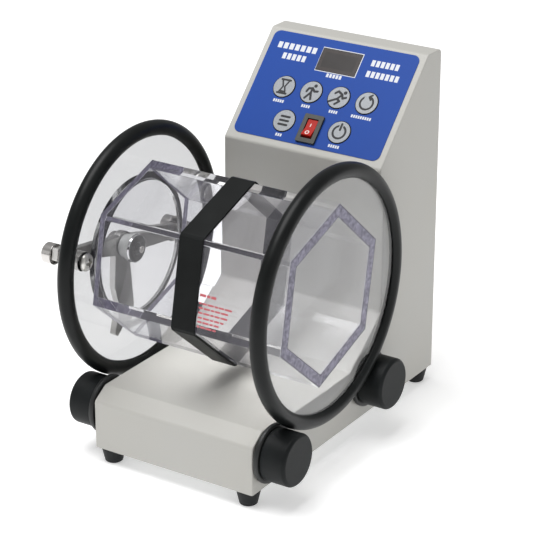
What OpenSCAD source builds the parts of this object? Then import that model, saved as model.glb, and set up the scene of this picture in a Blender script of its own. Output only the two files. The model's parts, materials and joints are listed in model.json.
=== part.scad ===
// Rotary rock tumbler: a hexagonal acrylic barrel with rubber-rimmed end discs turns on
// four driven rollers, in front of an upright control housing.

/* [Housing] */
// Width of the housing across its side walls
housing_w = 124; // [100:1:160]
// Depth of the housing from the nose to the back
housing_d = 232; // [200:1:300]
// Thickness of the bent steel sheet
sheet = 1.5; // [1:0.1:2.5]
// Height of the upright nose below its bevel
nose_h = 33.5; // [30:0.5:60]
// Height of the bevel along the nose
bevel_h = 7.5; // [3:0.5:20]
// Depth of the bevel along the nose
bevel_d = 12; // [4:0.5:25]
// Depth of the ramp between the deck and the tower
ramp_d = 39.5; // [20:0.5:50]
// Height of the ramp between the deck and the tower
ramp_h = 29; // [10:0.5:50]
// Depth of the tower
tower_d = 78.5; // [70:0.5:100]
// Height of the tower above the underside
tower_h = 235; // [200:1:320]
// Height of the front bend below the control slope
bend_h = 172; // [140:1:190]
// Depth of the flat top behind the control slope
top_d = 18; // [10:1:30]
// Outside radius of the sheet's bends
bend_r = 3.5; // [2:0.5:6]
// Width of the rear wall's rim round the back opening
rim_w = 11; // [8:1:16]

/* [Feet] */
// Height of the rubber feet
foot_h = 11; // [8:0.5:20]
// Radius of a foot where it meets the housing
foot_top_r = 8; // [6:0.5:10]
// Radius of a foot where it meets the bench
foot_low_r = 6; // [5:0.5:9]
// Distance of a foot's centre from the housing's edges
foot_inset = 8.5; // [8:0.5:20]

/* [Controls] */
// Distance of the printed overlay from the housing's side walls
overlay_margin = 4.5; // [4:0.5:12]
// Height of the printed overlay along the slope
overlay_h = 80; // [74:1:82]
// Thickness of the printed overlay
overlay_t = 0.4; // [0.2:0.1:1]
// Corner radius of the printed overlay
overlay_r = 5; // [2:0.5:8]
// Distance of the printed overlay above the middle of the slope
overlay_up = 1.4; // [0:0.1:2]
// Width of the display window
display_w = 31; // [20:1:50]
// Height of the display window
display_h = 17; // [10:1:20]
// Radius of a push button
button_r = 8.4; // [5:0.1:9]
// Spacing of the push buttons in the upper row
button_pitch = 21.8; // [19:0.2:24]
// Travel of a push button
button_travel = 0.8; // [0.4:0.1:1]
// Width of the power switch's bezel
switch_w = 15; // [13:0.5:18]
// Height of the power switch's bezel
switch_h = 21; // [19:0.5:24]
// Width of the bezel's border round its key
switch_border = 3.3; // [2:0.1:4]
// Tilt of the power rocker away from level
rocker_tilt = 10; // [6:1:12]

/* [Rollers] */
// Height of the front roller shaft above the underside
front_shaft_h = 23.5; // [22:0.5:26]
// Height of the rear roller shaft above the underside
rear_shaft_h = 28.5; // [26:0.5:34]
// Distance of the front roller shaft from the nose
front_shaft_d = 18.5; // [17:0.5:30]
// Distance between the two roller shafts, front to back
shaft_span = 119; // [100:1:130]
// Radius of the roller shafts
shaft_r = 4; // [3:0.1:5]
// Radius of the rubber roller tyres
tyre_r = 17.7; // [14:0.1:18]
// Length of the rubber roller tyres
tyre_l = 18.5; // [16:0.5:24]
// Height of the roller flanges over the tyres
flange_rise = 2.3; // [0.8:0.1:3]
// Thickness of the roller flanges
flange_t = 3.5; // [2:0.5:4]

/* [Barrel] */
// Radius over the rubber rim of the end discs
rim_r = 87.5; // [80:0.5:105]
// Radius of the rubber rim's round section
rim_section_r = 5.4; // [4:0.1:6]
// Depth of rubber between a clear end disc's edge and the rim's tread
rim_cover = 7.5; // [6:0.5:9]
// Thickness of the clear end discs
disc_t = 4.5; // [3:0.1:6]
// Distance from the housing's side wall out to the middle of an end disc
disc_reach = 11.85; // [11:0.05:14]
// Distance of the barrel's middle to the left of the housing's middle
barrel_left = 2.2; // [0:0.1:3]
// Radius of the hexagonal tube at its corners
tube_r = 61; // [57:0.5:66]
// Thickness of the hexagonal tube's walls
tube_wall = 8; // [4:0.5:8]
// Turn of the tube's top corner towards the back, from upright
tube_turn = 11; // [0:1:59]
// Radius of the mouth in the left end disc
mouth_r = 44; // [36:0.5:44]
// Width of the grip band
band_w = 18; // [12:1:30]
// Thickness of the grip band
band_t = 1.6; // [1:0.1:3]
// Distance of the grip band to the right of the barrel's middle
band_shift = 1; // [-10:0.5:10]

/* [Lid and lock] */
// Width of the lid's lip round the mouth
lid_lip = 6; // [4:0.5:10]
// Thickness of the lid's outer plate
lid_t = 4; // [3:0.5:6]
// Thickness of the lid's gasket
gasket_t = 1.5; // [1:0.1:2.5]
// Radius at which the two lock posts stand
post_pitch_r = 64; // [62:0.5:68]
// Direction of the front lock post, from the back, in degrees
post_dir = 169; // [150:1:200]
// Radius of a lock post's foot
post_r = 6.5; // [5:0.5:7]
// Radius of a lock post's neck
post_neck_r = 3.2; // [2.5:0.1:4]
// Thickness of the lock bar
bar_t = 5; // [3:0.5:5]
// Length of the nylon collar between the lid and the lock bar
collar_l = 9; // [8:0.5:14]
// Length of the lock bar's handle arm
handle_l = 66; // [50:1:68]
// Width of the lock bar's handle arm
handle_w = 16; // [10:1:20]

/* [Drive] */
// Radius of both belt pulleys under the belt
pulley_r = 12; // [8:0.5:12]
// Width of the drive belt
belt_w = 6; // [4:0.5:8]
// Thickness of the drive belt
belt_t = 1.8; // [1:0.1:2.5]
// Radius of the gear motor
motor_r = 18.5; // [14:0.5:20]
// Length of the gear motor
motor_l = 58; // [40:1:60]
// Height of the motor's axis above the underside
motor_h = 49; // [40:1:60]
// Depth of the power inlet's body behind the back cover
inlet_depth = 17; // [15:0.5:22]

/* [Hidden] */
$fn = 72;

// Clearances
running = 0.05;   // radial, a shaft in its bush
slip = 0.2;       // a part that drops into an opening
rolling = 0.3;    // between the rims and the tyres that carry them
side_gap = 1;     // between a roller and the housing
cut = 0.5;        // how far a cutting tool runs past a face

// Housing landmarks, Y from front to back, Z from the bench
under_z = foot_h;
nose_y = -housing_d / 2;
back_y = housing_d / 2;
deck_z = under_z + nose_h + bevel_h;
tower_y = back_y - tower_d;
bend_z = under_z + bend_h;
top_z = under_z + tower_h;
slope_y = back_y - top_d;
slope_angle = atan2(top_z - bend_z, slope_y - tower_y);
slope_l = norm([top_z - bend_z, slope_y - tower_y]);
overlay_mid_v = slope_l / 2 + overlay_up;
side_x = housing_w / 2;
plate_top_z = under_z + sheet;
overlay_w = housing_w - 2 * overlay_margin;

// Roller shafts and the barrel that lies on them
front_shaft = [nose_y + front_shaft_d, under_z + front_shaft_h];
rear_shaft = [front_shaft[0] + shaft_span, under_z + rear_shaft_h];
carry_r = rim_r + tyre_r + rolling;
shaft_step = rear_shaft - front_shaft;
shaft_up = [-shaft_step[1], shaft_step[0]] / norm(shaft_step);
barrel_rise = sqrt(carry_r * carry_r - shaft_step * shaft_step / 4);
barrel = (front_shaft + rear_shaft) / 2 + shaft_up * barrel_rise;
hub_x = side_x + side_gap;
tyre_x = hub_x + flange_t;
tyre_end_x = tyre_x + tyre_l;
hub_core_r = shaft_r + 8;
flange_r = tyre_r + flange_rise;
hub_end_x = tyre_end_x - 3;
bush_r = shaft_r + 3;
bush_out = 0.5;

// Barrel radii, and stations along its own axis from its middle
disc_r = rim_r - rim_cover;
lid_r = mouth_r + lid_lip;
disc_span = housing_w + 2 * disc_reach;
disc_in = disc_span / 2 - disc_t / 2;
disc_out = disc_span / 2 + disc_t / 2;
rim_centre_r = rim_r - rim_section_r;
gasket_out = disc_out + gasket_t;
lid_out = gasket_out + lid_t;
collar_out = lid_out + collar_l;
bar_in = collar_out + rolling;
bar_out = bar_in + bar_t;
head_in = bar_out + rolling;
head_l = 8;
head_r = post_r + 0.6;
head_out = head_in + head_l;
neck_in = bar_in - 1.5;
stud_r = 4;
nut_l = 5;
nut_r = 8;
post_dirs = [post_dir, post_dir + 180];
handle_dir = post_dir + 91;
collar_r = 9.5;
inner_head_r = 2.5;

// Drive
belt_x = side_x - 19;
pulley_rim_r = pulley_r + belt_t + 0.2;
pulley_rim_t = 1.2;
motor_axis = [back_y - inlet_depth - 2 - motor_r, under_z + motor_h];
motor_face_x = belt_x - 13;
motor_shaft_r = 3;
boss_r = 6;
boss_l = 5;
bracket_t = 2;
bracket_half = motor_r + 4;

// Control slope, measured from its middle line and up from the lower bend
overlay_v = (slope_l - overlay_h) / 2;
display_v = overlay_v + overlay_h * 0.825;
upper_row_v = overlay_v + overlay_h * 0.505;
lower_row_v = overlay_v + overlay_h * 0.2;
switch_v = overlay_v + overlay_h * 0.172;
rocker_w = switch_w - 2 * switch_border;
rocker_h = switch_h - 2 * switch_border;
board_top = -10.5;
board_t = 1.6;
pillar_u = side_x - 14;
pillar_low_v = 12;
pillar_high_v = slope_l - 14;
key_top = -4.6 - button_travel;
button_at = [[-1.5 * button_pitch, upper_row_v], [-0.5 * button_pitch, upper_row_v],
    [0.5 * button_pitch, upper_row_v], [1.5 * button_pitch, upper_row_v],
    [-button_pitch, lower_row_v], [button_pitch, lower_row_v]];

// Back cover and inlet
cover_t = sheet;
cover_w = housing_w - 12;
cover_low_z = under_z + 8;
cover_high_z = top_z - 8;
hole_w = cover_w - 2 * rim_w;
inlet_w = 28;
inlet_h = 20;
inlet_x = inlet_w / 2 + 3 - hole_w / 2;
inlet_z = under_z + 32;
inlet_floor_t = 4;
inlet_pin_l = 9;
screw_r = 1.5;
screw_head_r = 3;
screw_head_t = 1.4;
screw_l = 7;

// The origin is at the middle of the footprint, on the bench
left_end = -barrel_left - head_out;
right_end = tyre_end_x;
front_end = barrel[0] - rim_r;
back_end = back_y + cover_t + screw_head_t;
origin = [(left_end + right_end) / 2, (front_end + back_end) / 2, 0];

function unit(v) = v / norm(v);
function inward(v) = [-v[1], v[0]];
function wrap(i, n) = (i + n) % n;

// A closed outline moved inwards by d, with its corners kept sharp
function inset(pts, d) = [for (i = [0:len(pts) - 1])
    let (n = len(pts),
         n1 = inward(unit(pts[i] - pts[wrap(i - 1, n)])),
         n2 = inward(unit(pts[wrap(i + 1, n)] - pts[i])))
    pts[i] + d * (n1 + n2) / (1 + n1 * n2)];

// The arc that rounds corner b between its neighbours a and c
function bend_arc(a, b, c, r) =
    let (u = unit(a - b),
         v = unit(c - b),
         half = acos(u * v) / 2,
         middle = b + unit(u + v) * r / sin(half),
         p = b + u * r / tan(half) - middle,
         q = b + v * r / tan(half) - middle,
         start = atan2(p[1], p[0]),
         raw = atan2(q[1], q[0]) - start,
         sweep = raw > 180 ? raw - 360 : raw < -180 ? raw + 360 : raw,
         steps = 6)
    [for (k = [0:steps]) middle + r * [cos(start + sweep * k / steps),
                                       sin(start + sweep * k / steps)]];

function bent(pts, radii) = [for (i = [0:len(pts) - 1])
    let (n = len(pts), r = radii[i])
    each r > 0 ? bend_arc(pts[wrap(i - 1, n)], pts[i], pts[wrap(i + 1, n)], r) : [pts[i]]];

// Side outline of the housing, from the rear of the underside round by the nose
outline = [[nose_y, under_z], [back_y, under_z], [back_y, top_z], [slope_y, top_z],
    [tower_y, bend_z], [tower_y, deck_z + ramp_h], [tower_y - ramp_d, deck_z],
    [nose_y + bevel_d, deck_z], [nose_y, deck_z - bevel_h]];
outline_r = [0, 0, bend_r, bend_r, bend_r, bend_r, bend_r, bend_r, bend_r];
inner_bend_r = bend_r - sheet;
inner_r = [0, 0, inner_bend_r, inner_bend_r, inner_bend_r, bend_r + sheet, bend_r + sheet,
    inner_bend_r, inner_bend_r];

module at_origin() {
    translate(-origin) children();
}

// Draws a Y-Z outline and runs it along X from x0 to x1
module along_x(x0, x1) {
    translate([x0, 0, 0]) rotate([90, 0, 90]) linear_extrude(x1 - x0) children();
}

// A round bar along X through the Y-Z point p
module bar_x(p, r, x0, x1) {
    translate([x0, p[0], p[1]]) rotate([0, 90, 0]) cylinder(r = r, h = x1 - x0);
}

// Turns a profile given as radius and station about the X axis through p
module turned_x(p, side = 1) {
    translate([0, p[0], p[1]]) rotate([0, 90 * side, 0]) rotate_extrude() children();
}

// Local X across the slope, local Y up it, local Z out of it
module on_slope(u = 0, v = 0) {
    translate([0, tower_y, bend_z]) rotate([slope_angle, 0, 0]) translate([u, v, 0]) children();
}

// A rectangle centred on the origin with rounded corners
module soft_rect(w, h, r) {
    square([w - 2 * r, h], center = true);
    square([w, h - 2 * r], center = true);
    for (i = [-1, 1], j = [-1, 1]) translate([i * (w / 2 - r), j * (h / 2 - r)]) circle(r);
}

// The barrel's own frame: X along its axis from its middle
module in_barrel() {
    translate([-barrel_left, barrel[0], barrel[1]]) children();
}

// A regular hexagon with its corners at r, turned as the tube lies
module hexagon(r) {
    rotate(30 - tube_turn) circle(r, $fn = 6);
}

module screw_up(l = screw_l) {
    rotate_extrude() polygon([[0, 0], [screw_head_r - 0.6, 0], [screw_head_r, 0.6],
        [screw_head_r, screw_head_t], [screw_r, screw_head_t], [screw_r, screw_head_t + l],
        [0, screw_head_t + l]]);
}

function base_screw_at() = [for (i = [-1, 1], y = [nose_y + 42, 2, back_y - 40])
    [i * (side_x - 9), y]];
function foot_at() = [for (i = [-1, 1], j = [-1, 1])
    [i * (side_x - foot_inset), j * (housing_d / 2 - foot_inset)]];
function cover_screw_at() = [for (i = [-1, 1], z = [cover_low_z + 5, cover_high_z - 5])
    [i * (cover_w / 2 - 5), z]];
function pillar_at() = [for (i = [-1, 1], v = [pillar_low_v, pillar_high_v])
    [i * pillar_u, v]];

module housing_shell() color([0.80, 0.80, 0.77]) {
    difference() {
        along_x(-side_x, side_x) polygon(bent(outline, outline_r));
        difference() {
            along_x(-side_x + sheet, side_x - sheet)
                polygon(bent(inset(outline, sheet), inner_r));
            for (p = base_screw_at()) translate([p[0], p[1], plate_top_z])
                screw_tab(sign(p[0]));
        }
        translate([-side_x + sheet, nose_y + sheet, under_z - cut])
            cube([housing_w - 2 * sheet, housing_d - 2 * sheet, sheet + cut + 0.01]);
        for (s = [front_shaft, rear_shaft])
            bar_x(s, bush_r, -side_x - cut, side_x + cut);
        on_slope() slope_cuts();
        translate([-hole_w / 2, back_y - sheet - cut, cover_low_z + rim_w])
            cube([hole_w, sheet + 2 * cut, cover_high_z - cover_low_z - 2 * rim_w]);
        for (p = cover_screw_at()) translate([p[0], back_y + cut, p[1]])
            rotate([90, 0, 0]) cylinder(r = screw_r, h = sheet + 2 * cut);
        for (p = base_screw_at()) translate([p[0], p[1], under_z])
            cylinder(r = screw_r, h = 10);
    }
}

// A welded tab that takes one base screw, reaching the side wall
module screw_tab(side) {
    reach = 9;
    translate([side > 0 ? -6 : -reach, -7, 0]) cube([6 + reach, 14, 3]);
}

module slope_cuts() {
    depth = sheet + 2 * cut;
    translate([0, display_v, -sheet - cut]) linear_extrude(depth)
        square([display_w + 2 * slip, display_h + 2 * slip], center = true);
    translate([0, switch_v, -sheet - cut]) linear_extrude(depth)
        square([switch_w - 2 + 2 * slip, switch_h - 2 + 2 * slip], center = true);
    for (b = button_at) translate([b[0], b[1], -sheet - cut])
        cylinder(r = button_r + slip, h = depth);
}

module base_plate() color([0.62, 0.63, 0.62]) {
    gap = sheet + slip;
    difference() {
        translate([-side_x + gap, nose_y + gap, under_z])
            cube([housing_w - 2 * gap, housing_d - 2 * gap, sheet]);
        for (p = base_screw_at()) translate([p[0], p[1], under_z - cut])
            cylinder(r = screw_r + slip, h = sheet + 2 * cut);
        for (p = foot_at()) translate([p[0], p[1], under_z - cut])
            cylinder(r = screw_r, h = sheet + 2 * cut);
        for (p = bracket_screw_at()) translate([p[0], p[1], under_z - cut])
            cylinder(r = screw_r, h = sheet + 2 * cut);
        for (i = [-3:3]) translate([i * 9, 25, under_z - cut]) linear_extrude(sheet + 2 * cut)
            soft_rect(3, 40, 1.4);
    }
}

module base_screws() color("silver") {
    for (p = base_screw_at()) translate([p[0], p[1], under_z - screw_head_t]) screw_up(4);
}

module foot(i, j) color([0.08, 0.08, 0.08]) {
    translate([i * (side_x - foot_inset), j * (housing_d / 2 - foot_inset), 0])
        difference() {
            rotate_extrude() polygon([[0, 0], [foot_low_r - 0.8, 0], [foot_low_r, 0.8],
                [foot_top_r, foot_h - 1.5], [foot_top_r, foot_h], [0, foot_h]]);
            translate([0, 0, -cut]) cylinder(r = screw_head_r + slip, h = foot_h - 4 + cut);
            cylinder(r = screw_r + slip, h = foot_h + cut);
        }
}

module foot_screws() color("silver") {
    for (p = foot_at()) translate([p[0], p[1], foot_h - 4 - screw_head_t]) screw_up(8);
}

module rear_cover() color([0.80, 0.80, 0.77]) {
    difference() {
        translate([0, back_y + cover_t, (cover_low_z + cover_high_z) / 2]) rotate([90, 0, 0])
            linear_extrude(cover_t) soft_rect(cover_w, cover_high_z - cover_low_z, 4);
        for (p = cover_screw_at()) translate([p[0], back_y + cover_t + cut, p[1]])
            rotate([90, 0, 0]) cylinder(r = screw_r + slip, h = cover_t + 2 * cut);
        for (i = [-1, 1], k = [0:7]) translate([i * 24, back_y + cover_t + cut, top_z - 40 - 7 * k])
            rotate([90, 0, 0]) linear_extrude(cover_t + 2 * cut) soft_rect(30, 3, 1.4);
        translate([inlet_x - inlet_w / 2 - slip, back_y - cut, inlet_z - inlet_h / 2 - slip])
            cube([inlet_w + 2 * slip, cover_t + 2 * cut, inlet_h + 2 * slip]);
    }
}

module rear_cover_screws() color("silver") {
    for (p = cover_screw_at()) translate([p[0], back_end, p[1]]) rotate([90, 0, 0]) screw_up(4);
}

module control_overlay() color([0.24, 0.37, 0.73]) {
    on_slope(0, overlay_mid_v) linear_extrude(overlay_t) difference() {
        soft_rect(overlay_w, overlay_h, overlay_r);
        translate([0, display_v - overlay_mid_v])
            square([display_w + 2 * slip, display_h + 2 * slip], center = true);
        translate([0, switch_v - overlay_mid_v])
            square([switch_w - 2 + 2 * slip, switch_h - 2 + 2 * slip], center = true);
        for (b = button_at) translate([b[0], b[1] - overlay_mid_v]) circle(button_r + slip);
    }
}

module display_window() color([0.22, 0.18, 0.17]) {
    on_slope(0, display_v) translate([0, 0, -sheet]) linear_extrude(sheet + overlay_t)
        square([display_w, display_h], center = true);
}

module display_module() color([0.12, 0.12, 0.12]) {
    on_slope(0, display_v) translate([0, 0, board_top])
        linear_extrude(-sheet - board_top) square([display_w - 2, display_h - 1], center = true);
}

module control_board() color([0.10, 0.35, 0.18]) {
    on_slope() translate([0, 0, board_top - board_t]) linear_extrude(board_t) difference() {
        translate([0, slope_l / 2]) square([2 * pillar_u + 8, slope_l - 18], center = true);
        translate([0, switch_v]) square([switch_w + 1, switch_h + 1], center = true);
        for (p = pillar_at()) translate(p) circle(screw_r);
    }
}

module board_pillars() color([0.75, 0.75, 0.77]) {
    for (p = pillar_at()) on_slope(p[0], p[1]) {
        translate([0, 0, board_top]) cylinder(r = 3, h = -sheet - board_top);
        translate([0, 0, board_top - board_t - 2]) cylinder(r = screw_r, h = board_t + 2.5);
        translate([0, 0, board_top - board_t - 2]) cylinder(r = screw_head_r, h = 2);
    }
}

module key_switches() color([0.15, 0.15, 0.15]) {
    for (b = button_at) on_slope(b[0], b[1]) {
        translate([-4, -4, board_top]) cube([8, 8, 3.2]);
        translate([0, 0, board_top]) cylinder(r = 1.8, h = key_top - board_top);
    }
}

module push_button(k) color([0.72, 0.73, 0.74]) {
    proud = overlay_t + 0.6;
    on_slope(button_at[k][0], button_at[k][1]) rotate_extrude() polygon([
        [0, key_top + rolling + button_travel], [2, key_top + rolling + button_travel],
        [2, -3.2], [button_r + 1, -3.2], [button_r + 1, -sheet - 0.1], [button_r, -sheet - 0.1],
        [button_r, proud - 0.4], [button_r - 0.4, proud], [0, proud]]);
}

module switch_bezel() color([0.07, 0.07, 0.07]) {
    body_depth = 15;
    lip = 1.8;
    on_slope(0, switch_v) difference() {
        union() {
            translate([0, 0, overlay_t]) linear_extrude(lip) soft_rect(switch_w, switch_h, 1);
            translate([0, 0, -body_depth]) linear_extrude(body_depth + overlay_t + 0.01)
                square([switch_w - 2, switch_h - 2], center = true);
        }
        translate([0, 0, -body_depth + 1.5]) linear_extrude(body_depth + lip + overlay_t)
            square([rocker_w, rocker_h], center = true);
    }
}

// The red key rocks between the bezel's walls about the middle of its round belly
module power_rocker() color([0.80, 0.12, 0.10]) {
    half = rocker_h / 2 - 0.8;
    belly_r = 6;
    on_slope(0, switch_v) translate([0, 0, -1]) rotate([-rocker_tilt, 0, 0])
        rotate([90, 0, 90]) translate([0, 0, -rocker_w / 2 + 0.3])
            linear_extrude(rocker_w - 0.6) {
                polygon([[-half, -1.5], [half, -1.5], [half, 3.6], [0, 2.6], [-half, 3.6]]);
                intersection() {
                    circle(belly_r);
                    translate([-belly_r, -belly_r]) square([2 * belly_r, belly_r - 1]);
                }
            }
}

module power_inlet() color([0.09, 0.09, 0.09]) {
    depth = inlet_depth;
    floor_y = back_y - depth + inlet_floor_t;
    lip = 1.2;
    translate([inlet_x, 0, inlet_z]) {
        difference() {
            union() {
                translate([-inlet_w / 2, back_y - depth, -inlet_h / 2])
                    cube([inlet_w, depth + cover_t, inlet_h]);
                translate([-inlet_w / 2 - 2, back_y + cover_t, -inlet_h / 2 - 2])
                    cube([inlet_w + 4, lip, inlet_h + 4]);
            }
            translate([-inlet_w / 2 + 2, floor_y, -inlet_h / 2 + 2])
                cube([inlet_w - 4, depth + cover_t + lip, inlet_h - 4]);
        }
        for (p = [[-7, -2], [0, 2], [7, -2]]) translate([p[0] - 1, floor_y - 0.01, p[1] - 2])
            cube([2, inlet_pin_l, 4]);
    }
}

module power_supply() color([0.20, 0.40, 0.22]) {
    low = plate_top_z + 5;
    translate([-side_x + 20, nose_y + 34, 0]) {
        translate([0, 0, low]) cube([62, 44, 1.6]);
        for (x = [4, 58], y = [4, 40]) translate([x, y, plate_top_z]) cylinder(r = 2.5, h = 5.1);
        translate([6, 8, low]) cube([26, 22, 19]);
        translate([44, 14, low]) cylinder(r = 7, h = 18);
        translate([40, 26, low]) cube([16, 3, 16]);
    }
}

function bracket_screw_at() = [for (x = [motor_face_x - 22, motor_face_x - 8], i = [-1, 1])
    [x, motor_axis[0] + i * (bracket_half - 5)]];
function face_screw_at() = [for (a = [45:90:315])
    motor_axis + (motor_r - 4) * [cos(a), sin(a)]];

module gear_motor() color([0.60, 0.61, 0.62]) {
    gear_l = 24;
    end = motor_face_x;
    difference() {
        union() {
            bar_x(motor_axis, motor_r, end - gear_l, end);
            bar_x(motor_axis, motor_r - 1.5, end - motor_l, end - gear_l);
            bar_x(motor_axis, 5, end - motor_l - 3, end - motor_l);
            bar_x(motor_axis, boss_r, end, end + boss_l);
        }
        bar_x(motor_axis, motor_shaft_r + running, end - 12, end + boss_l + cut);
        for (p = face_screw_at()) bar_x(p, screw_r, end - 4, end + cut);
    }
}

module motor_bracket() color([0.70, 0.71, 0.72]) {
    x = motor_face_x;
    difference() {
        union() {
            translate([x, motor_axis[0] - bracket_half, plate_top_z])
                cube([bracket_t, 2 * bracket_half, motor_axis[1] - plate_top_z + bracket_half]);
            translate([x - 28, motor_axis[0] - bracket_half, plate_top_z])
                cube([28 + bracket_t, 2 * bracket_half, bracket_t]);
        }
        bar_x(motor_axis, boss_r, x - cut, x + bracket_t + cut);
        for (p = face_screw_at()) bar_x(p, screw_r + slip, x - cut, x + bracket_t + cut);
        for (p = bracket_screw_at()) translate([p[0], p[1], plate_top_z - cut])
            cylinder(r = screw_r + slip, h = bracket_t + 2 * cut);
    }
}

module motor_screws() color("silver") {
    for (p = face_screw_at())
        translate([motor_face_x + bracket_t + screw_head_t, p[0], p[1]])
            rotate([0, -90, 0]) screw_up(bracket_t + 3);
    for (p = bracket_screw_at())
        translate([p[0], p[1], plate_top_z + bracket_t + screw_head_t])
            rotate([180, 0, 0]) screw_up(bracket_t + sheet);
}

module motor_shaft() color([0.78, 0.79, 0.80]) {
    bar_x(motor_axis, motor_shaft_r, motor_face_x - 11, belt_x + belt_w / 2 + 3);
}

// A flanged belt pulley on the shaft at p
module pulley(p, bore_r) {
    half = belt_w / 2 + 0.3;
    outer = half + pulley_rim_t;
    difference() {
        union() {
            bar_x(p, pulley_r, belt_x - outer, belt_x + outer);
            bar_x(p, pulley_rim_r, belt_x - outer, belt_x - half);
            bar_x(p, pulley_rim_r, belt_x + half, belt_x + outer);
        }
        bar_x(p, bore_r, belt_x - outer - cut, belt_x + outer + cut);
    }
}

module motor_pulley() color([0.76, 0.77, 0.78]) {
    pulley(motor_axis, motor_shaft_r);
}

module drive_pulley() color([0.76, 0.77, 0.78]) {
    pulley(rear_shaft, shaft_r);
}

// Outline of a belt that lies at radius r round both pulleys
module belt_loop(r) {
    run = motor_axis - rear_shaft;
    translate(rear_shaft) rotate(atan2(run[1], run[0])) {
        circle(r);
        translate([norm(run), 0]) circle(r);
        translate([0, -r]) square([norm(run), 2 * r]);
    }
}

module drive_belt() color([0.10, 0.10, 0.10]) {
    along_x(belt_x - belt_w / 2, belt_x + belt_w / 2) difference() {
        belt_loop(pulley_r + rolling + belt_t);
        belt_loop(pulley_r + rolling);
    }
}

module roller_shaft(p) color([0.78, 0.79, 0.80]) {
    bar_x(p, shaft_r, -hub_end_x + 1, hub_end_x - 1);
}

module shaft_bushes() color([0.72, 0.55, 0.32]) {
    for (p = [front_shaft, rear_shaft], i = [-1, 1]) scale([i, 1, 1]) difference() {
        union() {
            bar_x(p, bush_r, side_x - 8, side_x + bush_out);
            bar_x(p, bush_r + 3, side_x - sheet - 2, side_x - sheet);
        }
        bar_x(p, shaft_r + running, side_x - 9, side_x + 1);
    }
}

// Flanged nylon core of a roller, on the end of its shaft
module roller_hub(p, side) color([0.10, 0.10, 0.11]) {
    turned_x(p, side) polygon([[shaft_r, hub_x], [flange_r - 0.8, hub_x],
        [flange_r, hub_x + 0.8], [flange_r, tyre_x - 0.8], [flange_r - 0.8, tyre_x],
        [hub_core_r, tyre_x], [hub_core_r, hub_end_x], [0, hub_end_x], [0, hub_end_x - 1],
        [shaft_r, hub_end_x - 1]]);
}

// Rubber cup that carries the barrel, pushed over the hub's core
module roller_tyre(p, side) color([0.06, 0.06, 0.06]) {
    chamfer = 1.6;
    turned_x(p, side) polygon([[hub_core_r, tyre_x], [tyre_r, tyre_x],
        [tyre_r, tyre_end_x - chamfer], [tyre_r - chamfer, tyre_end_x], [0, tyre_end_x],
        [0, hub_end_x], [hub_core_r, hub_end_x]]);
}

module barrel_tube() color([0.86, 0.88, 0.93, 0.4]) {
    in_barrel() along_x(-disc_in, disc_in) difference() {
        hexagon(tube_r);
        hexagon(tube_r - tube_wall / cos(30));
    }
}

// A clear end disc; the left one has the mouth and the lock posts' screw holes
module end_disc_left() color([0.86, 0.88, 0.93, 0.4]) {
    in_barrel() difference() {
        bar_x([0, 0], disc_r, -disc_out, -disc_in);
        bar_x([0, 0], mouth_r, -disc_out - cut, -disc_in + cut);
        for (a = post_dirs)
            bar_x(post_pitch_r * [cos(a), sin(a)], screw_r + 0.5, -disc_out - cut, -disc_in + cut);
    }
}

module end_disc_right() color([0.86, 0.88, 0.93, 0.4]) {
    in_barrel() bar_x([0, 0], disc_r, disc_in, disc_out);
}

// A round rubber rim with the groove that holds a disc's edge
module rim(side) color([0.05, 0.05, 0.05]) {
    in_barrel() translate([side * disc_span / 2, 0, 0]) rotate([0, 90, 0])
        rotate_extrude($fn = 144) difference() {
            translate([rim_centre_r, 0]) circle(rim_section_r);
            translate([0, -disc_t / 2]) square([disc_r, disc_t]);
        }
}

module grip_band() color([0.14, 0.15, 0.16]) {
    in_barrel() translate([band_shift, 0, 0]) along_x(-band_w / 2, band_w / 2) difference() {
        intersection() {
            hexagon(tube_r + band_t / cos(30));
            circle(tube_r + band_t * 0.7);
        }
        hexagon(tube_r);
    }
}

module lid() color([0.86, 0.88, 0.93, 0.4]) {
    plug_r = mouth_r - slip;
    in_barrel() difference() {
        union() {
            bar_x([0, 0], lid_r, -lid_out, -gasket_out);
            bar_x([0, 0], plug_r, -gasket_out, -disc_in - 0.5);
        }
        bar_x([0, 0], screw_r + 0.5, -gasket_out - cut, -disc_in + cut);
        bar_x([0, 0], collar_r + slip, -lid_out - cut, -gasket_out);
    }
}

module lid_gasket() color([0.80, 0.80, 0.78]) {
    in_barrel() difference() {
        bar_x([0, 0], lid_r - 1, -gasket_out, -disc_out);
        bar_x([0, 0], mouth_r + 0.5, -gasket_out - cut, -disc_out + cut);
    }
}

// Two posts with a neck for the bar's hooks and a head hollowed round the neck
module lock_posts() color([0.78, 0.78, 0.77]) {
    hollow_r = head_r - 1.4;
    hollow_in = head_in + 2.5;
    in_barrel() for (a = post_dirs) turned_x(post_pitch_r * [cos(a), sin(a)], -1) polygon([
        [screw_r + 0.5, disc_out], [post_r, disc_out], [post_r, neck_in - 0.6],
        [post_r - 0.6, neck_in], [post_neck_r, neck_in], [post_neck_r, hollow_in],
        [hollow_r, hollow_in], [hollow_r, head_in], [head_r, head_in], [head_r, head_out - 1.2],
        [head_r - 1.2, head_out], [0, head_out], [0, disc_out + 6], [screw_r + 0.5, disc_out + 6]]);
}

module post_screws() color([0.70, 0.70, 0.70]) {
    head = 3;
    in_barrel() for (a = post_dirs) turned_x(post_pitch_r * [cos(a), sin(a)], -1) polygon([
        [0, disc_in - head], [post_r - 1.4, disc_in - head], [post_r - 0.4, disc_in - head + 1],
        [post_r - 0.4, disc_in], [screw_r + 0.5, disc_in], [screw_r + 0.5, disc_out + 6],
        [0, disc_out + 6]]);
}

module lid_stud() color([0.74, 0.74, 0.74]) {
    in_barrel() {
        bar_x([0, 0], stud_r, -head_in - nut_l, -gasket_out);
        bar_x([0, 0], screw_r + 0.5, -gasket_out - cut, -disc_in);
        bar_x([0, 0], inner_head_r, -disc_in - 0.5, -disc_in + 1);
    }
}

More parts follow.
